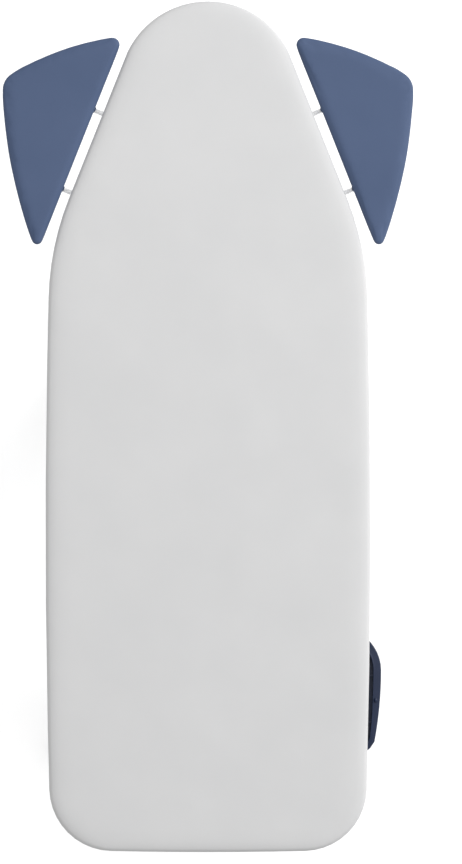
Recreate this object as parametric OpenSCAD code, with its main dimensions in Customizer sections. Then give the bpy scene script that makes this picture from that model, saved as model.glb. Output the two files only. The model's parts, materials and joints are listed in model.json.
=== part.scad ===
// Free-standing ironing board with two fold-down side wings and scissor legs.
// Z is up and the floor is at Z = 0. +Y points to the nose, +X to the lever side.
// The origin lies on the floor, under the middle of the board.

/* [Board] */
// Length of the covered board, along Y
board_l = 1200; // [1100:1:1500]
// Width of the covered board at its widest place
board_w = 458; // [380:1:560]
// Height of the ironing surface above the floor
top_h = 900; // [740:1:940]
// Radius of the nose
nose_r = 126; // [110:1:150]
// Angle between a tapered side and the long axis
taper_a = 21.7; // [18:0.1:24]
// Radius where a tapered side turns into the long side
shoulder_r = 400; // [200:1:500]
// Radius of the long side's slight bow
side_r = 12900; // [6000:100:20000]
// How far the widest place lies from the middle, towards the square end
widest_y = 145; // [0:1:200]
// Radius of the corners at the square end
corner_r = 89; // [60:1:110]
// Radius of the square end's slight bow
end_r = 6300; // [2000:100:9000]

/* [Cover, pad and top panel] */
// Thickness of the fabric cover
cover_t = 1.5; // [1:0.1:3]
// Thickness of the felt pad
pad_t = 6; // [3:0.5:12]
// Thickness of the steel mesh panel
panel_t = 0.8; // [0.5:0.1:2]
// Height of the rim frame below the panel
rim_h = 18; // [12:0.5:26]
// Wall of the rim frame
rim_t = 1.2; // [0.8:0.1:3]
// Width of the rim frame's lower lip
rim_lip = 11; // [6:0.5:20]
// Width of the cover's hem under the board
hem_w = 18; // [14:1:19]
// Diameter of the drawcord in the hem
drawcord_d = 3; // [2:0.5:4]
// Height of the stiffening braces under the panel
brace_h = 8; // [5:0.5:12]
// Width of a brace, along Y
brace_w = 24; // [16:1:40]
// Wall of the braces, hangers and rails
sheet_t = 1.5; // [1.2:0.1:3]

/* [Legs] */
// Hinge axis below the ironing surface
hinge_drop = 60; // [52:1:80]
// Hinge axis from the square end
hinge_in = 200; // [170:1:260]
// Slide pin from the nose tip when folded
slide_in = 101; // [90:1:140]
// Foot bar past the other leg's pin when folded
foot_out = 100; // [80:1:130]
// Angle between each leg and the board when folded
fold_a = 2.5; // [2:0.1:6]
// Diameter of the leg tubes
tube_d = 22; // [18:0.5:25]
// Wall of the leg tubes
tube_t = 1.2; // [1:0.1:2]
// Distance of an inner leg tube from the middle
inner_x = 42; // [34:1:50]
// Gap between neighbouring inner and outer leg tubes
tube_gap = 6; // [4:0.5:10]
// Diameter of the foot tubes
foot_d = 25; // [20:0.5:28]
// Half the length of a foot bar over its caps
foot_half = 195; // [150:1:200]
// Diameter of the rubber foot caps
foot_cap_d = 31; // [28:0.5:38]
// Length of a foot cap
foot_cap_l = 34; // [24:1:50]
// Width of the flat tread under a foot cap
foot_tread_w = 18; // [12:0.5:24]
// Diameter of the hinge axle and the slide pin
pin_d = 10; // [8:0.5:12]
// Diameter of the bolt where the legs cross
bolt_d = 8; // [6:0.5:10]

/* [Rails] */
// Clearance between an outer leg tube and its rail
rail_gap = 9; // [7:0.5:12]
// Height of a slotted rail
rail_h = 28; // [26:0.5:34]
// Width of a rail's flanges
rail_flange = 8; // [6:0.5:9]
// Diameter of the nylon bush that runs in the slot
bush_d = 14; // [13:0.5:16]

/* [Release lever] */
// Distance of the lever shaft from the board's edge
shaft_in = 54; // [48:1:60]
// Lever shaft below the ironing surface
shaft_drop = 38; // [36:0.5:44]
// Diameter of the lever shaft
shaft_d = 10; // [8:0.5:12]
// How far the handle stands out past the cover
handle_out = 15.7; // [10:0.1:24]
// Place of the handle's broadest point from the square end
handle_in = 256; // [230:1:320]
// Round of the handle at its nose end
handle_nose_r = 60; // [50:1:70]
// Bow of the handle's grip edge
handle_bow_r = 555; // [400:5:800]
// Length of the bowed grip edge
handle_bow_l = 101; // [80:1:120]
// Height of the handle
handle_h = 13; // [10:0.5:15]
// Width of the raised grip bar
grip_w = 13.5; // [10:0.5:18]
// Number of working heights
height_count = 5; // [3:1:6]
// Step between working heights
height_step = 45; // [30:1:50]
// Turn of the lever that lifts the teeth over the slide pin
latch_a = 5; // [4:0.5:6]

/* [Wings] */
// Gap between the board and a wing
wing_gap = 13; // [10:0.1:20]
// Straight inner edge of a wing between its sharp corners
wing_l = 330.2; // [270:0.1:390]
// Width of a wing across from its inner edge
wing_w = 136.3; // [115:0.1:165]
// Place of the widest corner along the inner edge
wing_peak = 120; // [100:1:150]
// Start of the wing before the nose's round ends
wing_lead = 27.4; // [15:0.1:40]
// Radius of the wing's bowed top edge
wing_top_r = 393; // [250:1:500]
// Radius of the wing's bowed outer edge
wing_side_r = 678; // [500:1:1000]
// Radii of the wing's nose corner, outer corner and tip
wing_corner_r = [10, 27, 7.5];
// Thickness of the wing's fabric cover
wing_cover_t = 1.2; // [0.8:0.1:2]
// Thickness of the wing's foam pad
wing_pad_t = 6; // [4:0.5:10]
// Wall of the wing's pressed steel plate
wing_plate_t = 0.8; // [0.6:0.1:2]
// Depth of the plate's turned-down edge
wing_edge_h = 7; // [5:0.5:10]
// Width of the wing cover's hem
wing_hem_w = 14; // [10:1:20]
// Diameter of the wing's steel rod frame
rod_d = 7; // [6:0.5:8]
// Hinge rod in from the board's tapered edge
wing_axis_in = 30; // [28:1:34]
// Hinge rod below the ironing surface
wing_axis_drop = 40; // [38:1:44]
// Places of the two arms along the wing's inner edge
wing_arm_at = [112, 232];
// Reach of each arm from the board's edge
wing_arm_reach = [112, 66];

/* [Fits] */
// Clearance around a pin in its bore
fit = 0.05; // [0.02:0.01:0.1]
// Clearance between parts that slide past each other
play = 0.4; // [0.3:0.05:0.6]

/* [Hidden] */
$fn = 48;

// Levels, from the ironing surface down
cover_z = top_h - cover_t;
pad_z = cover_z - pad_t;
panel_z = pad_z - panel_t;
rim_z = panel_z - rim_h;
hem_z = rim_z - cover_t;
brace_z = panel_z - brace_h;

// Legs: the crossing halves the line between hinge and slide pin
hinge_y = -board_l / 2 + hinge_in;
hinge_z = top_h - hinge_drop;
slide_fold_y = board_l / 2 - slide_in;
cross_l = (slide_fold_y - hinge_y) / 2 / cos(fold_a);
leg_l = 2 * cross_l + foot_out;
foot_z = foot_cap_d / 2;
lean = asin((hinge_z - foot_z) / leg_l);
slide_y = hinge_y + 2 * cross_l * cos(lean);
outer_x = inner_x + tube_d + tube_gap;
rail_x = outer_x + tube_d / 2 + rail_gap;
tube_over = tube_d / 2 + 1;
leg_brace_d = 14;
foot_brace_in = 60;

// Rails
rail_z = hinge_z - rail_h / 2;
rail_y0 = hinge_y - 20;
rail_y1 = slide_fold_y + bush_d / 2 + 13;
bush_flange_d = rail_h - 2 * sheet_t - 2 * play;
bush_flange_t = 4;
slide_reach = rail_x + sheet_t + play + bush_flange_t;
brace_ys = [-board_l / 2 + 55, hinge_y, hinge_y + (rail_y1 - hinge_y) / 3,
            hinge_y + (rail_y1 - hinge_y) * 2 / 3 - 20, rail_y1 - 45];
hanger_w = 20;
hanger_foot = 12;

// Lever
shaft_x = board_w / 2 - shaft_in;
shaft_z = top_h - shaft_drop;
comb_t = 2.5;
comb_x = rail_x + sheet_t + rail_flange + 4;
pin_reach = comb_x + comb_t + 4;
tooth_top = hinge_z - pin_d / 2 - play - 0.1;
tooth_h = 8;
comb_h = 20;
notch_w = pin_d + 1.4;
handle_y = -board_l / 2 + handle_in;
handle_x = board_w / 2 + handle_out;
handle_z = shaft_z - 14;
handle_floor = 4;
arm_w = 12;
arm_t = 3;
shaft_y0 = handle_y - handle_bow_l - 14;
shaft_y1 = slide_y + 60 + arm_w;
bearing_t = 4;
hub_d = shaft_d + 8;
spring_wire = 1.6;
spring_turns = 6;
spring_y = handle_y + handle_nose_r + 36;

// Wings, in a frame with X out from the board's tapered edge and +Y to the nose along it
taper_edge = nose_r + (board_l / 2 - nose_r) * sin(taper_a);
wing_start = (board_l / 2 - nose_r) * cos(taper_a) + wing_lead;
wing_z = top_h - wing_cover_t;
wing_foam_z = wing_z - wing_pad_t;
wing_plate_z = wing_foam_z - wing_plate_t;
wing_rim_z = wing_plate_z - wing_edge_h;
wing_hem_z = wing_rim_z - wing_cover_t;
wing_axis_z = top_h - wing_axis_drop;
wing_bearing_at = [wing_arm_at[0] + 26, wing_arm_at[1] - 26];
wing_bearing_t = 12;
rod_end = 8;
bend_start = wing_gap - 6;
bend_end = wing_gap + 22;

// ---- Curves ----

function along(a) = [cos(a), sin(a)];
function bearing_of(v) = atan2(v[1], v[0]);

// Points of an arc, without its last point
function arc(c, r, a0, a1, n) = [for (i = [0:n - 1]) c + r * along(a0 + (a1 - a0) * i / n)];

// Point on the line n . p = k that lies r away from c, on the chosen side
function on_line(a, k, c, r, side) =
    let (n = along(a), gap = k - c * n) c + gap * n + side * sqrt(r * r - gap * gap) * [-n[1], n[0]];

// Point where two circles meet, on the chosen side
function circles_meet(c1, r1, c2, r2, side) =
    let (d = norm(c2 - c1), e = (c2 - c1) / d, m = (r1 * r1 - r2 * r2 + d * d) / (2 * d))
    c1 + m * e + side * sqrt(r1 * r1 - m * m) * [-e[1], e[0]];

// Centre of a circle through two points, to the left of the way from p to q
function centre_through(p, q, r) =
    let (h = norm(q - p) / 2, e = (q - p) / (2 * h)) (p + q) / 2 + sqrt(r * r - h * h) * [-e[1], e[0]];

// Board outline, drawn in from the cover's edge
nose_c = [0, board_l / 2 - nose_r];
side_c = [board_w / 2 - side_r, -widest_y];
shoulder_c = on_line(taper_a, taper_edge - shoulder_r, side_c, side_r - shoulder_r, -1);
end_c = [0, end_r - board_l / 2];
corner_c = circles_meet(side_c, side_r - corner_r, end_c, end_r - corner_r, -1);
shoulder_turn = bearing_of(shoulder_c - side_c);
corner_turn = bearing_of(corner_c - side_c);
end_turn = bearing_of(corner_c - end_c);

function half_board(inset) = concat(
    arc(nose_c, nose_r - inset, 90, taper_a, 16),
    arc(shoulder_c, shoulder_r - inset, taper_a, shoulder_turn, 6),
    arc(side_c, side_r - inset, shoulder_turn, corner_turn, 8),
    arc(corner_c, corner_r - inset, corner_turn, end_turn, 10),
    arc(end_c, end_r - inset, end_turn, -90, 3));

module board_shape(inset) {
    half = half_board(inset);
    last = len(half) - 1;
    polygon(concat(half, [[0, -board_l / 2 + inset]], [for (i = [last:-1:1]) [-half[i][0], half[i][1]]]));
}

module board_ring(outer, inner) {
    difference() {
        board_shape(outer);
        board_shape(inner);
    }
}

// Half the width of the board at a place along it, near enough for bars that end inside the rim
function side_at(y) = y > shoulder_c[1] + shoulder_r * sin(taper_a)
    ? (taper_edge - y * sin(taper_a)) / cos(taper_a)
    : y > shoulder_c[1] + shoulder_r * sin(shoulder_turn)
        ? shoulder_c[0] + sqrt(pow(shoulder_r, 2) - pow(y - shoulder_c[1], 2))
        : y > corner_c[1] ? side_c[0] + sqrt(pow(side_r, 2) - pow(y - side_c[1], 2))
        : corner_c[0] + sqrt(pow(corner_r, 2) - pow(y - corner_c[1], 2));

// Wing outline in the wing's frame: a straight inner edge and two bowed edges, with round corners
wing_nose = [wing_gap, 0];
wing_out = [wing_gap + wing_w, -wing_peak];
wing_tip = [wing_gap, -wing_l];
wing_side_c = centre_through(wing_tip, wing_out, wing_side_r);
wing_top_c = centre_through(wing_out, wing_nose, wing_top_r);

function wing_points(inset) =
    let (r = [for (k = wing_corner_r) max(k, inset + 1)],
         nose = on_line(180, -wing_gap - r[0], wing_top_c, wing_top_r - r[0], -1),
         out = circles_meet(wing_side_c, wing_side_r - r[1], wing_top_c, wing_top_r - r[1], 1),
         tip = on_line(180, -wing_gap - r[2], wing_side_c, wing_side_r - r[2], 1),
         tip_turn = bearing_of(tip - wing_side_c),
         side_turn = bearing_of(out - wing_side_c),
         top_turn = bearing_of(out - wing_top_c),
         nose_turn = bearing_of(nose - wing_top_c))
    concat(
        arc(tip, r[2] - inset, -180, tip_turn, 6),
        arc(wing_side_c, wing_side_r - inset, tip_turn, side_turn, 8),
        arc(out, r[1] - inset, side_turn, top_turn, 6),
        arc(wing_top_c, wing_top_r - inset, top_turn, nose_turn, 8),
        arc(nose, r[0] - inset, nose_turn, 180, 6),
        [[wing_gap + inset, nose[1]]]);

module wing_shape(inset) {
    polygon(wing_points(inset));
}

module wing_ring(outer, inner) {
    difference() {
        wing_shape(outer);
        wing_shape(inner);
    }
}

// ---- Shared pieces ----

// Puts children drawn in the right wing's frame in their place; -1 is the left wing
module at_wing(side) {
    mirror([side < 0 ? 1 : 0, 0, 0]) rotate([0, 0, taper_a])
        translate([taper_edge, wing_start, 0]) children();
}

// Draws children made for +X on the given side
module on_side(side) {
    mirror([side < 0 ? 1 : 0, 0, 0]) children();
}

module on_both() {
    for (side = [-1, 1]) on_side(side) children();
}

// Bar along X between two places
module bar_x(x0, x1, d) {
    translate([x0, 0, 0]) rotate([0, 90, 0]) cylinder(h = x1 - x0, d = d);
}

// Bar along Y between two places
module bar_y(y0, y1, d) {
    translate([0, y0, 0]) rotate([-90, 0, 0]) cylinder(h = y1 - y0, d = d);
}

// Ring along X with a bore
module ring_x(x0, x1, d, bore) {
    difference() {
        bar_x(x0, x1, d);
        bar_x(x0 - 1, x1 + 1, bore);
    }
}

module ring_y(y0, y1, d, bore) {
    difference() {
        bar_y(y0, y1, d);
        bar_y(y0 - 1, y1 + 1, bore);
    }
}

// Round rod between two points
module rod(p, q, d) {
    v = q - p;
    translate(p) rotate([0, acos(v[2] / norm(v)), atan2(v[1], v[0])]) cylinder(h = norm(v), d = d);
}

// Bent rod: straight lengths that run on past each inner corner to close the elbow
module bent_rod(points, d) {
    last = len(points) - 1;
    for (i = [1:last]) {
        p = points[i - 1];
        q = points[i];
        lap = 0.22 * d / norm(q - p) * (q - p);
        rod(i == 1 ? p : p - lap, i == last ? q : q + lap, d);
    }
}

// Leg frames: Y runs along the leg from its upper pin, towards the foot at +Y or -Y
module at_outer_leg() {
    translate([0, hinge_y, hinge_z]) rotate([-lean, 0, 0]) children();
}

module at_inner_leg() {
    translate([0, slide_y, hinge_z]) rotate([lean, 0, 0]) mirror([0, 1, 0]) children();
}

module at_hinge() {
    translate([0, hinge_y, hinge_z]) children();
}

module at_slide() {
    translate([0, slide_y, hinge_z]) children();
}

module at_shaft() {
    translate([shaft_x, 0, shaft_z]) children();
}

// One leg tube at a distance from the middle, bored for both pins and saddled on the foot tube
module leg_tube(x, upper_bore, brace_at) {
    difference() {
        translate([x, 0, 0]) bar_y(-tube_over, leg_l, tube_d);
        translate([x, 0, 0]) bar_y(-tube_over - 1, leg_l + 1, tube_d - 2 * tube_t);
        bar_x(x - tube_d, x + tube_d, upper_bore);
        translate([0, cross_l, 0]) bar_x(x - tube_d, x + tube_d, bolt_d + 2 * fit);
        translate([0, leg_l, 0]) bar_x(x - tube_d, x + tube_d, foot_d);
    }
}

// ---- Board ----

module cover() {
    color("gainsboro") {
        translate([0, 0, cover_z]) linear_extrude(cover_t) board_shape(0);
        translate([0, 0, hem_z]) linear_extrude(cover_z - hem_z) board_ring(0, cover_t);
        translate([0, 0, hem_z]) linear_extrude(cover_t) board_ring(cover_t, hem_w);
    }
}

module drawcord() {
    color("white") translate([0, 0, hem_z - drawcord_d / 2 + cover_t])
        linear_extrude(drawcord_d) board_ring(hem_w, hem_w + drawcord_d);
}

module pad() {
    color("ivory") translate([0, 0, pad_z]) linear_extrude(pad_t) board_shape(cover_t);
}

module top_panel() {
    color("silver") translate([0, 0, panel_z]) linear_extrude(panel_t) board_shape(cover_t);
}

module rim_frame() {
    color("silver") translate([0, 0, rim_z]) {
        linear_extrude(rim_h) board_ring(cover_t, cover_t + rim_t);
        linear_extrude(rim_t) board_ring(cover_t + rim_t, cover_t + rim_lip);
    }
}

// Hat-section brace across the underside of the panel
module brace(y) {
    half = min(side_at(y - brace_w / 2), side_at(y + brace_w / 2)) - cover_t - rim_t - play;
    channel = brace_w - 2 * sheet_t;
    color("silver") translate([-half, y - brace_w / 2, brace_z]) difference() {
        cube([2 * half, brace_w, brace_h]);
        translate([-1, sheet_t, sheet_t]) cube([2 * half + 2, channel, brace_h]);
    }
}

module brace_tail() { brace(brace_ys[0]); }
module brace_hinge() { brace(brace_ys[1]); }
module brace_middle() { brace(brace_ys[2]); }
module brace_shoulder() { brace(brace_ys[3]); }
module brace_nose() { brace(brace_ys[4]); }

// Slotted channel, open to the outside, with the hinge bore at its tail end
module rail(side) {
    length = rail_y1 - rail_y0;
    slot_h = bush_d + 2 * play;
    color("silver") on_side(side) difference() {
        translate([rail_x, rail_y0, rail_z]) difference() {
            cube([sheet_t + rail_flange, length, rail_h]);
            translate([sheet_t, -1, sheet_t]) cube([rail_flange + 1, length + 2, rail_h - 2 * sheet_t]);
        }
        at_hinge() bar_x(rail_x - 1, rail_x + sheet_t + 1, pin_d + 2 * fit);
        for (y = [slide_y - play, slide_fold_y + play])
            translate([0, y, hinge_z]) bar_x(rail_x - 1, rail_x + sheet_t + 1, slot_h);
        translate([rail_x - 1, slide_y - play, hinge_z - slot_h / 2])
            cube([sheet_t + 2, slide_fold_y - slide_y + 2 * play, slot_h]);
    }
}

module rail_left() { rail(-1); }
module rail_right() { rail(1); }

// Brackets between a rail's upper flange and the braces above it
module hangers(side) {
    height = brace_z - rail_z - rail_h;
    color("silver") on_side(side) for (y = [for (i = [1:4]) brace_ys[i]])
        translate([rail_x, min(max(y, rail_y0 + hanger_w / 2), rail_y1 - hanger_w / 2), rail_z + rail_h]) {
            translate([0, -hanger_w / 2, 0]) cube([hanger_foot - 2, hanger_w, sheet_t]);
            translate([0, -hanger_w / 2, sheet_t]) cube([sheet_t, hanger_w, height - 2 * sheet_t]);
            translate([0, -hanger_w / 2, height - sheet_t]) cube([hanger_foot + 4, hanger_w, sheet_t]);
        }
}

module hangers_left() { hangers(-1); }
module hangers_right() { hangers(1); }

module rivets() {
    color("dimgray") on_both() for (i = [1:4])
        translate([rail_x + hanger_foot, brace_ys[i], brace_z - sheet_t - 1.6]) cylinder(h = 1.6, d = 7);
}

module hinge_axle() {
    color("lightgray") at_hinge() bar_x(-rail_x - sheet_t - 4, rail_x + sheet_t + 4, pin_d);
}

module hinge_axle_caps() {
    end = rail_x + sheet_t;
    color("dimgray") at_hinge() on_both() difference() {
        bar_x(end + 0.2, end + 6, pin_d + 6);
        bar_x(end, end + 4, pin_d + 2 * fit);
    }
}

module hinge_spacers() {
    color("dimgray") at_hinge() on_both()
        ring_x(outer_x + tube_d / 2 + play, rail_x - fit, pin_d + 6, pin_d + 2 * fit);
}

// ---- Outer leg ----

module outer_tube(side) {
    color("silver") at_outer_leg() leg_tube(side * outer_x, pin_d + 2 * fit);
}

module outer_tube_left() { outer_tube(-1); }
module outer_tube_right() { outer_tube(1); }

module foot_tube() {
    end = foot_half - foot_cap_l / 2;
    ring_x(-end, end, foot_d, foot_d - 2 * tube_t);
}

// Closed rubber cap over each end of a foot tube, with a tread that lies flat on the floor
module foot_caps() {
    on_both() difference() {
        union() {
            bar_x(foot_half - foot_cap_l, foot_half, foot_cap_d);
            rotate([lean, 0, 0]) translate([foot_half - foot_cap_l, -foot_tread_w / 2, -foot_z])
                cube([foot_cap_l, foot_tread_w, foot_z]);
        }
        bar_x(foot_half - foot_cap_l - 1, foot_half - foot_cap_l / 2, foot_d);
    }
}

module outer_foot_tube() {
    color("silver") at_outer_leg() translate([0, leg_l, 0]) foot_tube();
}

module outer_foot_caps() {
    color("darkslategray") at_outer_leg() translate([0, leg_l, 0]) foot_caps();
}

module outer_leg_brace() {
    color("silver") at_outer_leg() difference() {
        translate([0, leg_l - foot_brace_in, 0]) bar_x(-outer_x, outer_x, leg_brace_d);
        for (side = [-1, 1]) translate([side * outer_x, 0, 0]) bar_y(leg_l / 2, leg_l, tube_d);
    }
}

// Plastic plug in the upper end of a leg tube
module tube_plug(x) {
    translate([x, 0, 0]) {
        bar_y(-tube_over - 3, -tube_over, tube_d);
        bar_y(-tube_over, -tube_over + 4, tube_d - 2 * tube_t);
    }
}

module outer_tube_plugs() {
    color("dimgray") at_outer_leg() for (side = [-1, 1]) tube_plug(side * outer_x);
}

module cross_bolt() {
    reach = outer_x + tube_d / 2 + 6;
    color("lightgray") at_outer_leg() translate([0, cross_l, 0]) bar_x(-reach, reach, bolt_d);
}

module cross_bolt_nuts() {
    start = outer_x + tube_d / 2;
    color("dimgray") at_outer_leg() translate([0, cross_l, 0]) on_both() difference() {
        bar_x(start + 0.2, start + 8, bolt_d + 8);
        bar_x(start, start + 6, bolt_d + 2 * fit);
    }
}

module cross_washers() {
    start = inner_x + tube_d / 2 + play;
    color("white") at_outer_leg() translate([0, cross_l, 0]) on_both()
        ring_x(start, outer_x - tube_d / 2 - fit, bolt_d + 12, bolt_d + 2 * fit);
}

// ---- Inner leg ----

module inner_tube(side) {
    color("silver") at_inner_leg() leg_tube(side * inner_x, pin_d + 2 * fit);
}

module inner_tube_left() { inner_tube(-1); }
module inner_tube_right() { inner_tube(1); }

module inner_foot_tube() {
    color("silver") at_inner_leg() translate([0, leg_l, 0]) foot_tube();
}

module inner_foot_caps() {
    color("darkslategray") at_inner_leg() translate([0, leg_l, 0]) foot_caps();
}

module inner_brace(at) {
    color("silver") at_inner_leg() difference() {
        translate([0, at, 0]) bar_x(-inner_x, inner_x, leg_brace_d);
        for (side = [-1, 1]) translate([side * inner_x, 0, 0]) bar_y(0, leg_l, tube_d);
    }
}

module inner_brace_upper() { inner_brace(cross_l / 3); }
module inner_brace_lower() { inner_brace(leg_l - foot_brace_in); }

module inner_tube_plugs() {
    color("dimgray") at_inner_leg() for (side = [-1, 1]) tube_plug(side * inner_x);
}

// The slide pin reaches past the right rail so that the latch teeth can hold it
module slide_pin() {
    color("lightgray") at_slide() bar_x(-slide_reach - 3, pin_reach, pin_d);
}

// Nylon bush with a flange on each side of the rail's web
module slide_bushes() {
    inner = rail_x - play;
    outer = rail_x + sheet_t + play;
    color("white") at_slide() on_both() difference() {
        union() {
            bar_x(inner - bush_flange_t, inner, bush_flange_d);
            bar_x(inner, outer, bush_d);
            bar_x(outer, slide_reach, bush_flange_d);
        }
        bar_x(inner - bush_flange_t - 1, slide_reach + 1, pin_d + 2 * fit);
    }
}

module slide_pin_clips() {
    color("dimgray") at_slide() on_both()
        ring_x(slide_reach + 0.2, slide_reach + 2, pin_d + 6, pin_d + 2 * fit);
}

// ---- Release lever ----

// Bracket under the panel with a bore for the lever shaft
module lever_bearing(y) {
    width = shaft_d + 10;
    color("silver") difference() {
        union() {
            at_shaft() bar_y(y, y + bearing_t, width);
            translate([shaft_x - width / 2, y, shaft_z]) cube([width, bearing_t, panel_z - shaft_z]);
            translate([shaft_x - width / 2, y, panel_z - sheet_t]) cube([width, 16, sheet_t]);
        }
        at_shaft() bar_y(y - 1, y + bearing_t + 1, shaft_d + 2 * fit);
    }
}

module lever_bearing_tail() { lever_bearing(shaft_y0 + 4); }
module lever_bearing_middle() { lever_bearing(spring_y + spring_turns * 2 * spring_wire + 4); }
module lever_bearing_nose() { lever_bearing(slide_y - 30); }

// Torsion spring around the shaft, swept as one closed tube
function spring_path() =
    let (r = (shaft_d + spring_wire) / 2 + 1, n = 12 * spring_turns, pitch = 1.6 * spring_wire)
    concat([[-r, -spring_wire, -26]],
        [for (i = [0:n]) [-r * cos(30 * i), pitch * i / 12, r * sin(30 * i)]],
        [[-r, pitch * spring_turns + spring_wire, 26 - spring_wire]]);

module sweep(points, d, sides) {
    last = len(points) - 1;
    rings = [for (i = [0:last])
        let (a = points[max(i - 1, 0)], b = points[min(i + 1, last)], t = (b - a) / norm(b - a),
             s = cross(t, [0, 1, 0.01]), u = s / norm(s), w = cross(t, u))
        for (k = [0:sides - 1]) points[i] + d / 2 * (cos(360 * k / sides) * u + sin(360 * k / sides) * w)];
    walls = [for (i = [0:last - 1]) for (k = [0:sides - 1])
        let (p = i * sides, q = p + sides, n = (k + 1) % sides) [p + k, q + k, q + n, p + n]];
    start = [for (k = [0:sides - 1]) k];
    end = [for (k = [sides - 1:-1:0]) last * sides + k];
    polyhedron(rings, concat([start], walls, [end]));
}

module lever_spring() {
    color("dimgray") translate([shaft_x, spring_y, shaft_z]) sweep(spring_path(), spring_wire, 6);
}

module lever_shaft() {
    color("lightgray") at_shaft() bar_y(shaft_y0, shaft_y1, shaft_d);
}

// Handle outline: round nose end, bowed grip edge, cut-off tail end, straight to the shaft
module handle_shape(inset) {
    tail_turn = -asin(handle_bow_l / handle_bow_r);
    nose_end = [handle_x - handle_nose_r, handle_y];
    bow_c = [handle_x - handle_bow_r, handle_y];
    grip_end = bow_c + handle_bow_r * along(tail_turn);
    offset(delta = -inset) polygon(concat(
        [[shaft_x, grip_end[1]], grip_end - [14, 16], grip_end - [6, 9]],
        arc(bow_c, handle_bow_r, tail_turn, 0, 8),
        arc(nose_end, handle_nose_r, 0, 84, 10),
        [[shaft_x, handle_y + handle_nose_r - 2]]));
}

module lever_handle() {
    tail_y = handle_y - handle_bow_l;
    color([0.15, 0.18, 0.27]) difference() {
        union() {
            translate([0, 0, handle_z - handle_floor]) linear_extrude(handle_floor) handle_shape(0);
            translate([0, 0, handle_z]) linear_extrude(handle_h - handle_floor) difference() {
                handle_shape(0);
                handle_shape(grip_w);
            }
            for (y = [tail_y, handle_y + 10]) at_shaft() bar_y(y, y + 28, hub_d);
        }
        at_shaft() bar_y(tail_y - 60, handle_y + 100, shaft_d + 2 * fit);
    }
}

// Screws that hold the handle's hubs on the shaft
module lever_screws() {
    color("dimgray") for (y = [handle_y - handle_bow_l + 14, handle_y + 24])
        translate([shaft_x, y, shaft_z + hub_d / 2]) cylinder(h = 1.5, d = 6);
}

// Toothed bar under the slide pin's path, with one notch for each working height
function slide_at(height) = hinge_y + 2 * cross_l * cos(asin((height - hinge_drop - foot_z) / leg_l));

notch_ys = [for (i = [0:height_count - 1]) slide_at(top_h - i * height_step)];

module latch_comb() {
    y0 = slide_y - notch_w;
    length = notch_ys[height_count - 1] + notch_w - y0;
    color("lightgray") difference() {
        translate([comb_x, y0, tooth_top - comb_h]) cube([comb_t, length, comb_h]);
        for (y = notch_ys) translate([comb_x - 1, y - notch_w / 2, tooth_top - tooth_h])
            cube([comb_t + 2, notch_w, tooth_h + 1]);
    }
}

// Flat arms from the shaft to the foot of the comb
module latch_arms() {
    foot = [comb_x + comb_t, tooth_top - comb_h + arm_t / 2];
    reach = [shaft_x, shaft_z] - foot;
    tilt = bearing_of(reach);
    color("lightgray") for (y = [slide_y, slide_y + 60]) difference() {
        union() {
            translate([foot[0], y, foot[1]]) rotate([0, -tilt, 0]) translate([0, 0, -arm_t / 2])
                cube([norm(reach), arm_w, arm_t]);
            at_shaft() bar_y(y, y + arm_w, hub_d);
        }
        at_shaft() bar_y(y - 1, y + arm_w + 1, shaft_d + 2 * fit);
        translate([comb_x - 10, y - 1, tooth_top - 2 * comb_h]) cube([10 + comb_t, arm_w + 2, 3 * comb_h]);
    }
}

// ---- Wings ----

// Bent steel rod: the hinge rod and two arms that run out under the wing's plate
function wing_arm(v, reach) = [
    [-wing_axis_in, v, wing_axis_z], [bend_start, v, wing_axis_z],
    [bend_end, v, wing_plate_z - rod_d / 2], [reach, v, wing_plate_z - rod_d / 2]];

module wing_arms(d) {
    for (i = [0, 1]) bent_rod(wing_arm(-wing_arm_at[i], wing_arm_reach[i]), d);
}

module wing_frame(side) {
    rod_y0 = -wing_arm_at[1] - rod_end;
    rod_y1 = -wing_arm_at[0] + rod_end;
    color("white") at_wing(side) {
        wing_arms(rod_d);
        translate([-wing_axis_in, 0, wing_axis_z]) bar_y(rod_y0, rod_y1, rod_d);
    }
}

module wing_frame_left() { wing_frame(-1); }
module wing_frame_right() { wing_frame(1); }

module wing_cover(side) {
    t = wing_cover_t;
    color([0.34, 0.39, 0.5]) at_wing(side) difference() {
        union() {
            translate([0, 0, wing_z]) linear_extrude(t) wing_shape(0);
            translate([0, 0, wing_hem_z]) linear_extrude(wing_z - wing_hem_z) wing_ring(0, t);
            translate([0, 0, wing_hem_z]) linear_extrude(t) wing_ring(t, wing_hem_w);
        }
        wing_arms(rod_d + 3);
    }
}

module wing_cover_left() { wing_cover(-1); }
module wing_cover_right() { wing_cover(1); }

module wing_pad(side) {
    color("ivory") at_wing(side) translate([0, 0, wing_foam_z])
        linear_extrude(wing_pad_t) wing_shape(wing_cover_t);
}

module wing_pad_left() { wing_pad(-1); }
module wing_pad_right() { wing_pad(1); }

// Pressed plate with a turned-down edge, relieved where the arms enter
module wing_plate(side) {
    t = wing_plate_t;
    color("silver") at_wing(side) difference() {
        union() {
            translate([0, 0, wing_plate_z]) linear_extrude(t) wing_shape(wing_cover_t);
            translate([0, 0, wing_rim_z]) linear_extrude(wing_edge_h)
                wing_ring(wing_cover_t, wing_cover_t + t);
        }
        translate([0, 0, -1]) wing_arms(rod_d + 2);
    }
}

module wing_plate_left() { wing_plate(-1); }
module wing_plate_right() { wing_plate(1); }

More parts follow.
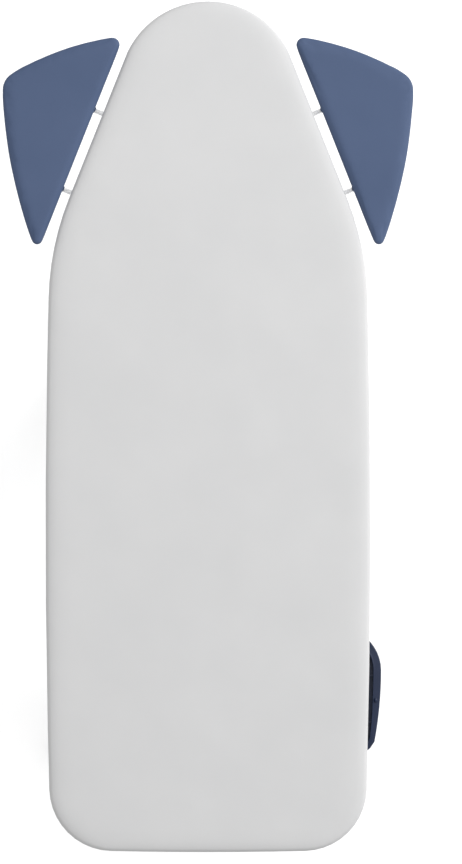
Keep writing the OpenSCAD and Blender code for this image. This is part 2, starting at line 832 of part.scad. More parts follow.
// Saddle clips that hold the arms to the plate
module wing_clips(side) {
    clip_w = rod_d + 12;
    color("silver") at_wing(side) for (i = [0, 1]) for (x = [bend_end + 8, wing_arm_reach[i] - 8])
        translate([x, -wing_arm_at[i], wing_plate_z]) difference() {
            union() {
                translate([-5, -clip_w / 2, -2]) cube([10, clip_w, 2]);
                translate([0, 0, -rod_d / 2]) bar_x(-5, 5, rod_d + 3);
            }
            translate([0, 0, -rod_d / 2]) bar_x(-6, 6, rod_d + 2 * fit);
            translate([-6, -clip_w, 0]) cube([12, 2 * clip_w, rod_d]);
        }
}

module wing_clips_left() { wing_clips(-1); }
module wing_clips_right() { wing_clips(1); }

// Places children at one of a wing's bearings, with Y along the hinge rod
module at_wing_bearing(side, at) {
    at_wing(side) translate([-wing_axis_in, -at - wing_bearing_t / 2, wing_axis_z]) children();
}

// Brackets under the board that carry a wing's hinge rod, cut back where the cover's hem runs
module wing_bearings(side) {
    width = rod_d + 9;
    color("silver") for (at = wing_bearing_at) difference() {
        union() {
            at_wing_bearing(side, at) bar_y(0, wing_bearing_t, width);
            intersection() {
                at_wing_bearing(side, at) translate([-width / 2, 0, 0])
                    cube([width, wing_bearing_t, panel_z - wing_axis_z]);
                translate([0, 0, wing_axis_z]) linear_extrude(panel_z - wing_axis_z)
                    board_shape(hem_w + drawcord_d + play);
            }
        }
        at_wing_bearing(side, at) bar_y(-1, wing_bearing_t + 1, rod_d + 2 * fit);
    }
}

module wing_bearings_left() { wing_bearings(-1); }
module wing_bearings_right() { wing_bearings(1); }

// Friction collars clamped on the hinge rod beside its bearings
module wing_collars(side) {
    gap = wing_bearing_t / 2 + play;
    color("dimgray") at_wing(side) translate([-wing_axis_in, 0, wing_axis_z]) {
        ring_y(-wing_bearing_at[0] - gap - 8, -wing_bearing_at[0] - gap, rod_d + 8, rod_d + 2 * fit);
        ring_y(-wing_bearing_at[1] + gap, -wing_bearing_at[1] + gap + 8, rod_d + 8, rod_d + 2 * fit);
    }
}

module wing_collars_left() { wing_collars(-1); }
module wing_collars_right() { wing_collars(1); }

cover();
drawcord();
pad();
top_panel();
rim_frame();
brace_tail();
brace_hinge();
brace_middle();
brace_shoulder();
brace_nose();
rail_left();
rail_right();
hangers_left();
hangers_right();
hinge_axle();
hinge_axle_caps();
hinge_spacers();
lever_bearing_tail();
lever_bearing_middle();
lever_bearing_nose();
lever_spring();
wing_bearings_left();
wing_bearings_right();
rivets();
outer_tube_left();
outer_tube_right();
outer_foot_tube();
outer_foot_caps();
outer_leg_brace();
outer_tube_plugs();
cross_bolt();
cross_bolt_nuts();
cross_washers();
inner_tube_left();
inner_tube_right();
inner_foot_tube();
inner_foot_caps();
inner_brace_upper();
inner_brace_lower();
inner_tube_plugs();
slide_pin();
slide_bushes();
slide_pin_clips();
lever_shaft();
lever_handle();
latch_comb();
latch_arms();
lever_screws();
wing_cover_left();
wing_cover_right();
wing_pad_left();
wing_pad_right();
wing_plate_left();
wing_plate_right();
wing_frame_left();
wing_frame_right();
wing_clips_left();
wing_clips_right();
wing_collars_left();
wing_collars_right();
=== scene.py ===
import json
import math

import bmesh
import bpy
from mathutils import Matrix, Vector, noise
from mathutils.geometry import delaunay_2d_cdt


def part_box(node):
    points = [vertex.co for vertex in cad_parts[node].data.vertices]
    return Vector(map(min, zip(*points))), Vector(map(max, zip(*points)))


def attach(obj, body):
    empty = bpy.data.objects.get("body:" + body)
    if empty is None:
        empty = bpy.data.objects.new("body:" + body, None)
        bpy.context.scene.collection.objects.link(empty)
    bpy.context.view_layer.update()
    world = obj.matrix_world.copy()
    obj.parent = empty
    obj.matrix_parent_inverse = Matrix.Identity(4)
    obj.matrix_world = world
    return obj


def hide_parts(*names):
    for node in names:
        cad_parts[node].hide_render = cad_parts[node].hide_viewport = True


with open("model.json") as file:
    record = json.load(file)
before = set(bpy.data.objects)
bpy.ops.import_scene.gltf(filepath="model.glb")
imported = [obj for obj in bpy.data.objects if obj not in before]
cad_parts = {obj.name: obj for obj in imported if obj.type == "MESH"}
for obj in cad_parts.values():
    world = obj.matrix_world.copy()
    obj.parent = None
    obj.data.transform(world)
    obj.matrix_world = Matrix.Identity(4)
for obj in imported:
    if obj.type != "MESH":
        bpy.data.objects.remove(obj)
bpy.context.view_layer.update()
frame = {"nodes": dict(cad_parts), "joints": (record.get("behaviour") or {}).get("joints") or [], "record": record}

joints = {j["name"]: j for j in frame["joints"]}
print("frame loaded:", len(frame["nodes"]), "nodes")

# ---- camera, light and floor ----

view = {"height": 18.0, "covers": 1.2180, "centre": (0.0325, -0.0075), "sensor": 36.0}
stage = {
    "world": 0.70, "floor": (0.98, 0.98, 0.98),
    "key": {"at": (5.0, 1.9, 3.7), "size": 2.6, "power": 310},
    "top": {"at": (0.4, 1.6, 5.0), "size": 3.0, "power": 95},
    "floorHalf": 14,
}
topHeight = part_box("cover")[1].z

camera = bpy.data.objects.new("camera", bpy.data.cameras.new("camera"))
bpy.context.scene.collection.objects.link(camera)
camera.location = (*view["centre"], topHeight + view["height"])
camera.data.sensor_width = view["sensor"]
camera.data.lens = view["sensor"] * view["height"] / view["covers"]
camera.data.clip_end = 100
bpy.context.scene.camera = camera
bpy.context.scene.view_settings.view_transform = "Standard"


def addLight(name, at, size, power):
    light = bpy.data.lights.new(name, "AREA")
    light.size = size
    light.energy = power
    lamp = bpy.data.objects.new(name, light)
    lamp.location = at
    lamp.rotation_euler = (Vector((0, 0, topHeight)) - Vector(at)).to_track_quat("-Z", "Y").to_euler()
    bpy.context.scene.collection.objects.link(lamp)


addLight("keyLight", **stage["key"])
addLight("topLight", **stage["top"])
world = bpy.data.worlds.new("studio")
world.use_nodes = True
world.node_tree.nodes["Background"].inputs["Color"].default_value = (1, 1, 1, 1)
world.node_tree.nodes["Background"].inputs["Strength"].default_value = stage["world"]
bpy.context.scene.world = world

# ---- materials ----


def addNode(tree, kind, values=(), **settings):
    node = tree.nodes.new(kind)
    for key, value in settings.items():
        setattr(node, key, value)
    for key, value in dict(values).items():
        if hasattr(value, "is_output"):
            tree.links.new(value, node.inputs[key])
        else:
            node.inputs[key].default_value = value
    return node


def mathNode(tree, operation, *values):
    return addNode(tree, "ShaderNodeMath", dict(enumerate(values)), operation=operation).outputs[0]


def ranged(tree, value, low, high, start=0.3, end=0.7):
    node = addNode(tree, "ShaderNodeMapRange", {0: value, 1: start, 2: end, 3: low, 4: high})
    return node.outputs[0]


def mixed(tree, factor, first, second):
    node = addNode(tree, "ShaderNodeMix", {0: factor}, data_type="RGBA")
    for index, value in ((6, first), (7, second)):
        if hasattr(value, "is_output"):
            tree.links.new(value, node.inputs[index])
        else:
            node.inputs[index].default_value = (*value, 1)
    return node.outputs[2]


def noiseAt(tree, coordinates, scale, detail=3.0, stretch=None):
    if stretch:
        coordinates = addNode(tree, "ShaderNodeMapping", {"Vector": coordinates, "Scale": stretch}).outputs[0]
    return addNode(tree, "ShaderNodeTexNoise", {"Vector": coordinates, "Scale": scale, "Detail": detail}).outputs[0]


def weaveHeight(tree, pitch):
    flat = addNode(tree, "ShaderNodeUVMap", uv_map="weave").outputs[0]
    scaled = addNode(tree, "ShaderNodeVectorMath", {0: flat, "Scale": 1 / pitch}, operation="SCALE").outputs[0]
    parts = addNode(tree, "ShaderNodeSeparateXYZ", {0: scaled})
    threads = []
    for axis in (0, 1):
        turn = mathNode(tree, "MULTIPLY", parts.outputs[axis], math.pi)
        threads.append(mathNode(tree, "ABSOLUTE", mathNode(tree, "SINE", turn)))
    over = addNode(tree, "ShaderNodeTexChecker", {"Vector": scaled, "Scale": 1.0}).outputs[1]
    picked = addNode(tree, "ShaderNodeMix", {0: over, 2: threads[0], 3: threads[1]})
    return picked.outputs[0]


def makeMaterial(name, colour, shade, mottle=25.0, rough=(0.4, 0.5), metal=0.0, grain=500.0, stretch=None,
                 depth=0.00003, strength=0.5, weave=None, pores=None, sheen=0.0, coat=0.0, scatter=0.0, gloss=0.5):
    material = bpy.data.materials.new(name)
    material.use_nodes = True
    tree = material.node_tree
    shader = tree.nodes["Principled BSDF"]
    place = addNode(tree, "ShaderNodeTexCoord").outputs["Object"]
    cloud = ranged(tree, noiseAt(tree, place, mottle), 0, 1)
    base = mixed(tree, cloud, shade, colour)
    fine = noiseAt(tree, place, grain, 4.0, stretch)
    height = fine
    if weave:
        height = mathNode(tree, "ADD", weaveHeight(tree, weave), mathNode(tree, "MULTIPLY", fine, 0.5))
        # painted shade: the colour drops to 0.9 in the low parts of the weave height, between the threads, where
        # shade falls
        base = mixed(tree, ranged(tree, height, 0, 1, 0.2, 0.7), [c * 0.9 for c in colour], base)
    if pores:
        cells = addNode(tree, "ShaderNodeTexVoronoi", {"Vector": place, "Scale": pores}).outputs[0]
        height = mathNode(tree, "ADD", cells, fine)
        # painted shade: the colour drops to 0.7 inside the pores, where the voronoi height is low and the pits would
        # be in shade
        base = mixed(tree, ranged(tree, cells, 0, 1, 0.0, 0.6), [c * 0.7 for c in colour], base)
    tree.links.new(base, shader.inputs["Base Color"])
    tree.links.new(ranged(tree, fine, *rough), shader.inputs["Roughness"])
    bump = addNode(tree, "ShaderNodeBump", {"Height": height, "Strength": strength, "Distance": depth})
    tree.links.new(bump.outputs[0], shader.inputs["Normal"])
    shader.inputs["Metallic"].default_value = metal
    shader.inputs["Specular IOR Level"].default_value = gloss
    shader.inputs["Sheen Weight"].default_value = sheen
    shader.inputs["Coat Weight"].default_value = coat
    shader.inputs["Subsurface Weight"].default_value = scatter
    shader.inputs["Subsurface Scale"].default_value = 0.002
    return material


finishes = {
    "cover_cloth": dict(colour=(0.471, 0.471, 0.473), shade=(0.453, 0.454, 0.457), mottle=9, rough=(0.62, 0.74),
                        grain=1500, weave=0.00062, depth=0.00009, strength=0.35, sheen=0.06, gloss=0.3),
    "wing_cloth": dict(colour=(0.0505, 0.076, 0.143), shade=(0.0455, 0.070, 0.134), mottle=11, rough=(0.55, 0.68),
                       grain=1500, weave=0.00062, depth=0.00009, strength=0.35, sheen=0.04, gloss=0.25),
    "drawcord": dict(colour=(0.78, 0.78, 0.75), shade=(0.62, 0.62, 0.6), mottle=900, rough=(0.7, 0.85), grain=1800,
                     depth=0.0003, stretch=(1, 1, 1)),
    "felt": dict(colour=(0.70, 0.68, 0.62), shade=(0.52, 0.52, 0.50), mottle=140, rough=(0.9, 1.0), grain=1300,
                 depth=0.0005, sheen=0.3),
    "wing_foam": dict(colour=(0.78, 0.74, 0.62), shade=(0.70, 0.66, 0.54), mottle=60, rough=(0.85, 0.95), grain=900,
                      pores=1400, depth=0.0004),
    "frame_paint": dict(colour=(0.56, 0.57, 0.59), shade=(0.50, 0.51, 0.53), mottle=14, rough=(0.38, 0.5),
                        grain=950, depth=0.00006, coat=0.15),
    "leg_paint": dict(colour=(0.50, 0.51, 0.53), shade=(0.45, 0.46, 0.48), mottle=10, rough=(0.28, 0.38),
                      grain=800, depth=0.00005, coat=0.35),
    "white_paint": dict(colour=(0.93, 0.93, 0.93), shade=(0.90, 0.90, 0.90), mottle=18, rough=(0.28, 0.36),
                        grain=900, depth=0.00005, coat=0.3),
    "zinc_steel": dict(colour=(0.62, 0.64, 0.67), shade=(0.48, 0.50, 0.53), mottle=55, rough=(0.28, 0.44),
                       metal=1.0, grain=260, stretch=(1, 0.12, 1), depth=0.00003),
    "bright_steel": dict(colour=(0.70, 0.70, 0.72), shade=(0.60, 0.60, 0.62), mottle=30, rough=(0.16, 0.28),
                         metal=1.0, grain=900, stretch=(3, 0.2, 0.2), depth=0.00002),
    "spring_steel": dict(colour=(0.30, 0.30, 0.32), shade=(0.20, 0.20, 0.21), mottle=400, rough=(0.3, 0.45),
                         metal=1.0, grain=1200, depth=0.00003),
    "nylon": dict(colour=(0.80, 0.80, 0.76), shade=(0.74, 0.74, 0.69), mottle=60, rough=(0.4, 0.52), grain=700,
                  depth=0.00004, scatter=0.12),
    "dark_plastic": dict(colour=(0.035, 0.037, 0.042), shade=(0.026, 0.028, 0.032), mottle=80, rough=(0.42, 0.56),
                         grain=1700, depth=0.00007),
    "foot_rubber": dict(colour=(0.032, 0.033, 0.036), shade=(0.05, 0.05, 0.053), mottle=45, rough=(0.72, 0.88),
                        grain=1300, depth=0.00012),
    "handle_plastic": dict(colour=(0.0075, 0.0150, 0.042), shade=(0.0065, 0.0135, 0.038), mottle=40,
                           rough=(0.34, 0.46), grain=2200, depth=0.00004, gloss=0.28),
}
materials = {name: makeMaterial(name, **look) for name, look in finishes.items()}
floorLook = makeMaterial("paleFloor", stage["floor"], [c * 0.985 for c in stage["floor"]], mottle=0.8,
                         rough=(0.6, 0.7), grain=60, depth=0.0002)
slotOf = {s["node"]: s["material_slot"] for s in frame["record"]["subparts"]}
for nodeName, cadNode in frame["nodes"].items():
    cadNode.data.materials.clear()
    cadNode.data.materials.append(materials[slotOf[nodeName]])
print("materials made:", len(materials))

# ---- modelling helpers ----


def moveTo(mesh, name, body, slot, replaces=(), sharp=35):
    piece = bpy.data.objects.new(name, mesh)
    bpy.context.scene.collection.objects.link(piece)
    mesh.materials.clear()
    mesh.materials.append(materials[slot])
    mesh.polygons.foreach_set("use_smooth", [True] * len(mesh.polygons))
    mesh.set_sharp_from_angle(angle=math.radians(sharp))
    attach(piece, body)
    if replaces:
        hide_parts(*replaces)
    return piece


def toPiece(bm, name, body, slot, replaces=(), sharp=35):
    mesh = bpy.data.meshes.new(name)
    bm.to_mesh(mesh)
    bm.free()
    return moveTo(mesh, name, body, slot, replaces, sharp)


def cadCopy(node):
    bm = bmesh.new()
    bm.from_mesh(frame["nodes"][node].data)
    bmesh.ops.remove_doubles(bm, verts=bm.verts[:], dist=0.000004)
    bmesh.ops.dissolve_limit(bm, angle_limit=math.radians(0.4), verts=bm.verts[:], edges=bm.edges[:])
    return bm


def softenEdges(bm, width, segments=2, above=30, where=None):
    picked = [e for e in bm.edges if e.is_manifold and e.calc_face_angle(0) > math.radians(above)
              and (where is None or where(e))]
    bmesh.ops.bevel(bm, geom=picked, offset=width, offset_type="OFFSET", affect="EDGES", segments=segments,
                    profile=0.5, clamp_overlap=True, material=-1)


def raiseNew(bm, made, height):
    bmesh.ops.translate(bm, verts=[g for g in made if isinstance(g, bmesh.types.BMVert)], vec=(0, 0, height))


def middle(node):
    low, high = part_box(node)
    return (low + high) / 2


def tubeMesh(name, paths, radius, closed=False, sides=3):
    curve = bpy.data.curves.new(name, "CURVE")
    curve.dimensions = "3D"
    curve.bevel_depth = radius
    curve.bevel_resolution = sides
    curve.use_fill_caps = not closed
    for path in paths:
        spline = curve.splines.new("POLY")
        spline.points.add(len(path) - 1)
        for point, place in zip(spline.points, path):
            point.co = (*place, 1)
        spline.use_cyclic_u = closed
    holder = bpy.data.objects.new(name, curve)
    mesh = bpy.data.meshes.new_from_object(holder)
    bpy.data.objects.remove(holder)
    return mesh


def roundedPath(points, radius, steps=8):
    path = [points[0]]
    for before, corner, after in zip(points, points[1:], points[2:]):
        into, out = (corner - before).normalized(), (after - corner).normalized()
        turn = into.angle(out)
        reach = radius * math.tan(turn / 2)
        for i in range(steps + 1):
            t = i / steps
            start, end = corner - into * reach, corner + out * reach
            path.append(start.lerp(corner, t).lerp(corner.lerp(end, t), t))
    return path + [points[-1]]


# ---- outlines and sheets ----


def topOutline(node):
    bm = cadCopy(node)
    top = max(v.co.z for v in bm.verts)
    face = max((f for f in bm.faces if f.normal.z > 0.99 and abs(f.calc_center_median().z - top) < 0.0001),
               key=lambda f: f.calc_area())
    points = [Vector((v.co.x, v.co.y)) for v in face.verts]
    bm.free()
    return points


def outwards(outline):
    sides = [(b - a).normalized() for a, b in zip(outline, outline[1:] + outline[:1])]
    normals = [Vector((s.y, -s.x)) for s in sides]
    return normals, [(normals[i - 1] + normals[i]).normalized() for i in range(len(outline))]


def latticeGrid(outline, cell, inset, z):
    low = Vector((min(p.x for p in outline), min(p.y for p in outline)))
    high = Vector((max(p.x for p in outline), max(p.y for p in outline)))
    count = sum(math.ceil((high - low)[i] / cell[i] / 2 + 1) * 2 for i in (0, 1))
    centre = (low + high) / 2
    diamond = 0.5 ** 0.5  # half a square's diagonal for each of its sides
    place = Matrix.Translation((centre.x, centre.y, z))
    place = place @ Matrix.Diagonal((cell[0] * count / 2, cell[1] * count / 2, 1, 1))
    place = place @ Matrix.Rotation(math.pi / 4, 4, "Z") @ Matrix.Diagonal((diamond, diamond, 1, 1))
    bm = bmesh.new()
    bmesh.ops.create_grid(bm, x_segments=count, y_segments=count, size=1, matrix=place)
    for point, out in zip(outline, outwards(outline)[0]):
        flatOut = out.to_3d()
        bmesh.ops.bisect_plane(bm, geom=bm.verts[:] + bm.edges[:] + bm.faces[:], dist=1e-7, clear_outer=True,
                               plane_co=Vector((point.x, point.y, z)) - flatOut * inset, plane_no=flatOut)
    return bm


def edgePoints(outline, step, blend=0.015):
    normals, corners = outwards(outline)
    points = []
    for i, a in enumerate(outline):
        b, after = outline[(i + 1) % len(outline)], corners[(i + 1) % len(outline)]
        length = (b - a).length
        count = max(1, round(length / step))
        for k in range(count):
            t = k / count
            if length < 2 * blend:
                out = corners[i].lerp(after, t)
            else:
                near, far = max(0.0, 1 - t * length / blend), max(0.0, 1 - (1 - t) * length / blend)
                out = normals[i] * (1 - near - far) + corners[i] * near + after * far
            points.append((a.lerp(b, t), out.normalized()))
    return points


def flatTop(outline, reach, cell, step, z):
    edge = edgePoints(outline, step)
    ring = [point - out * reach for point, out in edge]
    normals, _ = outwards(outline)
    low = Vector((min(p.x for p in outline), min(p.y for p in outline)))
    high = Vector((max(p.x for p in outline), max(p.y for p in outline)))
    inside = []
    for i in range(math.ceil((high.x - low.x) / cell) + 1):
        for k in range(math.ceil((high.y - low.y) / cell) + 1):
            p = Vector((low.x + i * cell, low.y + k * cell))
            if all((p - a).dot(n) < -reach - 0.5 * cell for a, n in zip(outline, normals)):
                inside.append(p)
    points, _, triangles, origin, _, _ = delaunay_2d_cdt(ring + inside, [], [list(range(len(ring)))], 1, 1e-7)
    bm = bmesh.new()
    verts = [bm.verts.new((p.x, p.y, z)) for p in points]
    turned = [list(t[t.index(min(t)):]) + list(t[:t.index(min(t))]) for t in triangles]
    for t in sorted(turned):
        bm.faces.new([verts[i] for i in t])
    for f in bm.faces:
        f.normal_update()
    bmesh.ops.reverse_faces(bm, faces=[f for f in bm.faces if f.normal.z < 0])
    loop = [None] * len(ring)
    for v, sources in zip(verts, origin):
        for i in sources:
            if i < len(ring):
                loop[i] = v
    base = {v: {"at": v.co.copy(), "out": out} for v, (point, out) in zip(loop, edge)}
    return bm, loop, base


def growRings(bm, loop, base, path, place):  # in the loop's order, so that the cloth settles the same way each run
    rings, ring = [], loop
    for run, out, up, heading in path:
        fresh = []
        for v in ring:
            fresh.append(bm.verts.new(place(base[v], run, out, up)))
            base[fresh[-1]] = base[v]
        for i in range(len(ring)):
            bm.faces.new((ring[i], ring[i - 1], fresh[i - 1], fresh[i]))
        rings.append((fresh, run, out, up, heading))
        ring = fresh
    return rings, [e for e in bm.edges if e.is_boundary]


def foldPath(parts):
    out, up, run, heading = 0.0, 0.0, 0.0, 0.0
    path = []
    for length, turn, steps in parts:
        for _ in range(steps):
            heading += math.radians(turn) / steps / 2
            out += math.cos(heading) * length / steps
            up += math.sin(heading) * length / steps
            run += length / steps
            heading += math.radians(turn) / steps / 2
            path.append((run, out, up, heading))
    return path


stitchMake = {"radius": 0.00022, "proud": 0.00008, "every": 2}


def sewnSheet(node, make):
    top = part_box(node)[1].z
    path = foldPath(make["fold"])
    reach = max(p[1] for p in path)
    bm, loop, base = flatTop(topOutline(node), reach, make["cell"], make["step"], top)
    curls, phase = [], 0.0
    for before, v in zip([loop[-1]] + loop[:-1], loop):
        turn = base[before]["out"].angle(base[v]["out"], 0.0)
        curls.append(min(1.0, turn / make["step"] * make["curlRadius"]))
    for i, v in enumerate(loop):
        near = [curls[(i + k) % len(loop)] for k in range(-12, 13)]
        base[v]["curl"] = sum(near) / len(near)
    for v in loop:
        base[v]["phase"] = phase
        phase += make["step"] * 2 * math.pi / (make["pleat"] * (1.0 - 0.3 * base[v]["curl"]))
    wholeTurns = 2 * math.pi * round(phase / 2 / math.pi) / phase
    for v in loop:
        base[v]["phase"] *= wholeTurns
    rings, _ = growRings(bm, loop, base, path, lambda b, run, out, up: b["at"] + b["out"].to_3d() * run)
    uv = bm.loops.layers.uv.new("weave")
    for f in bm.faces:
        for corner in f.loops:
            corner[uv].uv = corner.vert.co.xy
    flatArea = sum(f.calc_area() for f in bm.faces)
    spread = [max(v.co[i] for v in bm.verts) - min(v.co[i] for v in bm.verts) for i in (0, 1)]
    for fresh, run, out, up, heading in rings:
        share = max(0.0, (run / path[-1][0] - make["gatherFrom"]) / (1 - make["gatherFrom"]))
        for v in fresh:
            b, side = base[v], base[v]["out"].to_3d()
            wave = math.sin(b["phase"]) + 0.2 * math.sin(2 * b["phase"] + 1.0 + 3 * b["curl"])
            lift = make["gather"] * share ** 1.3 * (0.3 + 1.3 * b["curl"]) * wave
            normal = side * -math.sin(heading) + Vector((0, 0, math.cos(heading)))
            if heading < -3.2:  # the casing moves as one, with the cord inside
                normal, lift = Vector((0, 0, -1)), b["lift"]
            b["lift"] = lift
            tuck = 0.0
            if heading < -2:  # only under the edge
                tuck = make["tuck"](b["at"]) * max(0.0, min(1.0, (reach - out) / make["tuckOver"]))
            v.co = b["at"] + side * (out + tuck) + Vector((0, 0, up)) + normal * lift
    for v in bm.verts:
        spot = Vector((v.co.x, v.co.y, 0.37)) * make["waveScale"]
        soft = make["waves"] * (noise.noise(spot) + 0.35 * noise.noise(spot * 2.7) - 0.6)
        v.co.z += soft * max(0.0, 1 - (top - v.co.z) / make["wavesFade"])
    order = {id(base[v]): i for i, v in enumerate(loop)}
    seamRing = rings[sum(steps for _, _, steps in make["fold"][:-1]) - 1][0]
    seam = [v.co - Vector((0, 0, stitchMake["proud"])) for v in sorted(seamRing, key=lambda v: order[id(base[v])])]
    return bm, spread, flatArea, [base[v] for v in loop], seam


def settleCloth(piece, make):
    mesh, scene = piece.data, bpy.context.scene
    start = [v.co.copy() for v in mesh.vertices]
    top = max(co.z for co in start)
    held = piece.vertex_groups.new(name="held")
    held.add([v.index for v in mesh.vertices if v.co.z < top - make["heldBelow"]], 1.0, "REPLACE")
    cloth = piece.modifiers.new("cloth", "CLOTH")
    cloth.settings.quality = 6
    cloth.settings.vertex_group_mass = held.name
    cloth.settings.use_pressure = True
    cloth.settings.uniform_pressure_force = make["pressure"]
    cloth.settings.effector_weights.gravity = 0
    cloth.point_cache.frame_start, cloth.point_cache.frame_end = 1, make["frames"]
    for frameNumber in range(1, make["frames"] + 1):
        scene.frame_set(frameNumber)
    settled = [v.co.copy() for v in piece.evaluated_get(bpy.context.evaluated_depsgraph_get()).data.vertices]
    piece.modifiers.remove(cloth)
    piece.vertex_groups.remove(held)
    scene.frame_set(1)
    moves = [now - was for was, now in zip(start, settled)]
    for v, was, move in zip(mesh.vertices, start, moves):
        if move.length > 1e-9:
            v.co = was + move * (make["mostMove"] * math.tanh(move.length / make["mostMove"]) / move.length)
    mesh.update()
    print("cloth settled:", piece.name, "most", max(m.length for m in moves), "kept under", make["mostMove"])


def addWall(piece, thickness):
    wall = piece.modifiers.new("wall", "SOLIDIFY")
    wall.thickness = thickness
    wall.offset = -1


def hemStitches(name, body, slot, seam):
    paths = [[seam[i - 1], seam[i]] for i in range(1, len(seam), stitchMake["every"])]
    return moveTo(tubeMesh(name, paths, stitchMake["radius"], sides=0), name, body, slot, sharp=80)


def roundedPad(node, name, body, slot, make):
    low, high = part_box(node)
    path = foldPath(make["fold"])
    top = high.z - make["sink"]
    bm, loop, base = flatTop(topOutline(node), max(p[1] for p in path), make["cell"], make["step"], top)
    _, edges = growRings(bm, loop, base, path, lambda b, run, out, up:
                         b["at"] + b["out"].to_3d() * out + Vector((0, 0, max(up, low.z - top))))
    bmesh.ops.contextual_create(bm, geom=edges)
    for v in bm.verts:
        v.co.z -= make["waves"] * (0.5 + 0.5 * noise.noise(v.co * 14)) if v.co.z > top - 0.0005 else 0.0
    bmesh.ops.recalc_face_normals(bm, faces=bm.faces[:])
    return toPiece(bm, name, body, slot, [node])


# ---- covered top ----

boardCoverMake = {
    "cell": 0.0075, "step": 0.0028, "pleat": 0.020, "gather": 0.0009, "gatherFrom": 0.5, "curlRadius": 0.12,
    "waves": 0.0007, "waveScale": 9.0, "wavesFade": 0.006, "tuck": lambda at: 0.0, "tuckOver": 1.0,
    "fold": [(0.018, -5, 4), (0.010, -13, 3), (0.0092, -72, 6), (0.01456, 0, 4), (0.0055, -90, 4),
             (0.0155, 0, 4), (0.0105, -285, 8)],
    "thickness": 0.0009,
}
coverMesh, coverFlat, coverArea, coverLoop, coverSeam = sewnSheet("cover", boardCoverMake)
boardCover = toPiece(coverMesh, "boardCover", "board", "cover_cloth", ["cover"], 60)
addWall(boardCover, boardCoverMake["thickness"])

boardPadMake = {
    "cell": 0.012, "step": 0.005, "waves": 0.0003, "sink": 0.0006,
    "fold": [(0.018, -5, 4), (0.009, -14, 3), (0.0065, -71, 5), (0.003, 0, 1)],
}
boardPad = roundedPad("pad", "boardPad", "board", "felt", boardPadMake)

cordMake = {"inset": 0.0190, "radius": 0.0012}
coverReach = max(p[1] for p in foldPath(boardCoverMake["fold"]))
cordHeight = middle("drawcord").z
cordPath = []
for b in coverLoop:
    place = b["at"] + b["out"].to_3d() * (coverReach - cordMake["inset"])
    cordPath.append(Vector((place.x, place.y, cordHeight - b["lift"])))
cordMesh = tubeMesh("drawcord", [cordPath], cordMake["radius"], closed=True)
drawcord = moveTo(cordMesh, "drawcordInHem", "board", "drawcord", ["drawcord"])
boardStitches = hemStitches("boardHemStitches", "board", "drawcord", coverSeam)
print("covered top made, flat size", coverFlat, "area", coverArea)

# ---- mesh panel ----

panelMake = {"cell": (0.0125, 0.026), "strand": 0.0011, "inset": 0.0035}
panelLow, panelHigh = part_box("top_panel")
panel = latticeGrid(topOutline("top_panel"), panelMake["cell"], panelMake["inset"], panelLow.z)
bmesh.ops.recalc_face_normals(panel, faces=panel.faces[:])
cells = panel.faces[:]
bmesh.ops.inset_individual(panel, faces=cells, thickness=panelMake["strand"], use_even_offset=True)
bmesh.ops.delete(panel, geom=cells, context="FACES")
shell = bmesh.ops.extrude_face_region(panel, geom=panel.faces[:])["geom"]
raiseNew(panel, shell, panelHigh.z - panelLow.z)
bmesh.ops.recalc_face_normals(panel, faces=panel.faces[:])
toPiece(panel, "meshPanel", "board", "frame_paint", ["top_panel"], 30)
print("mesh panel made")

# ---- steel, plastic and rubber pieces with softened edges ----

softened = {
    "rim_frame": (0.0003, 1), "rail_left": (0.0005, 2), "rail_right": (0.0005, 2), "hangers_left": (0.0005, 2),
    "hangers_right": (0.0005, 2), "rivets": (0.0012, 4), "hinge_axle": (0.0008, 2), "hinge_axle_caps": (0.0016, 4),
    "hinge_spacers": (0.0005, 2), "lever_bearing_tail": (0.0006, 2), "lever_bearing_middle": (0.0006, 2),
    "lever_bearing_nose": (0.0006, 2), "wing_bearings_left": (0.0008, 3), "wing_bearings_right": (0.0008, 3),
    "outer_foot_caps": (0.0022, 4), "inner_foot_caps": (0.0022, 4), "outer_tube_plugs": (0.0012, 4),
    "inner_tube_plugs": (0.0012, 4), "cross_bolt": (0.0008, 2), "cross_washers": (0.0005, 2),
    "slide_pin": (0.0008, 2), "slide_bushes": (0.0007, 3), "slide_pin_clips": (0.0003, 2),
    "lever_shaft": (0.0008, 2), "latch_comb": (0.0004, 2), "latch_arms": (0.0005, 2), "lever_screws": (0.0006, 3),
    "wing_plate_left": (0.0002, 1), "wing_plate_right": (0.0002, 1), "wing_clips_left": (0.0004, 2),
    "wing_clips_right": (0.0004, 2), "wing_collars_left": (0.0009, 3), "wing_collars_right": (0.0009, 3),
    "brace_tail": (0.0006, 2), "brace_hinge": (0.0006, 2), "brace_middle": (0.0006, 2),
    "brace_shoulder": (0.0006, 2), "brace_nose": (0.0006, 2), "outer_tube_left": (0.0002, 1),
    "outer_tube_right": (0.0002, 1), "inner_tube_left": (0.0002, 1), "inner_tube_right": (0.0002, 1),
    "outer_foot_tube": (0.0003, 1), "inner_foot_tube": (0.0003, 1), "outer_leg_brace": (0.0002, 1),
    "inner_brace_upper": (0.0002, 1), "inner_brace_lower": (0.0002, 1),
}
bodyOf = {n: body for body, members in frame["record"]["behaviour"]["bodies"].items() for n in members}


def pieceName(node):
    first, *rest = node.split("_")
    return first + "".join(word.capitalize() for word in rest)


for node, (width, segments) in softened.items():
    bm = cadCopy(node)
    softenEdges(bm, width, segments)
    toPiece(bm, pieceName(node), bodyOf[node], slotOf[node], [node], 40)
print("softened pieces made:", len(softened))

# ---- welds where the tubes meet ----

weldMake = {"bead": 0.0013, "points": 44, "legTube": 0.011, "footTube": 0.0125, "brace": 0.007,
            "ripple": 0.0003, "ripples": 2600}
foldJoint, crossJoint = Vector(joints["leg_fold"]["pos_m"]), Vector(joints["leg_cross"]["pos_m"])


def legPlace(top):
    along = (crossJoint - top).normalized()
    side = Vector((1, 0, 0))
    turn = Matrix((side, along, side.cross(along))).transposed().to_4x4()
    return Matrix.Translation(top) @ turn


